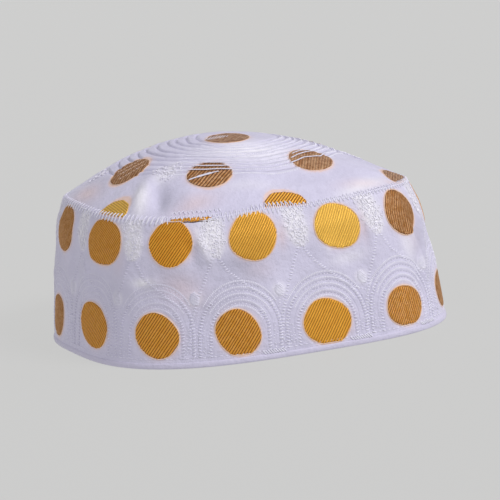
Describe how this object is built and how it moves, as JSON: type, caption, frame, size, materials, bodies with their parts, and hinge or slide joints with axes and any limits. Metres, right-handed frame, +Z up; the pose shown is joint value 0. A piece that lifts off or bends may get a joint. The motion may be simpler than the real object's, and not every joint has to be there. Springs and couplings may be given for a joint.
{
  "type": "taqiyah",
  "caption": "Oval embroidered cloth cap with a tall tapered side wall, a low domed crown and a narrow folded hem, open below for the head.",
  "frame": {"origin": "centre of the cap's box in plan, on the surface that the hem stands on", "axes": "+Z up from the hem to the crown, +X along the longer way of the oval rim"},
  "size_m": [0.1824, 0.165, 0.0947],
  "materials": {
    "wall_cloth": "white cotton with a satin face, woven",
    "crown_cloth": "white cotton with a satin face, woven",
    "hem_cloth": "white cotton, folded and pressed",
    "white_thread": "glossy white embroidery thread",
    "gold_brocade": "golden twill brocade, satin sheen"
  },
  "bodies": {
    "root": {"hem": "hem_cloth", "side_band": "wall_cloth", "crown": "crown_cloth"}
  },
  "joints": []
}
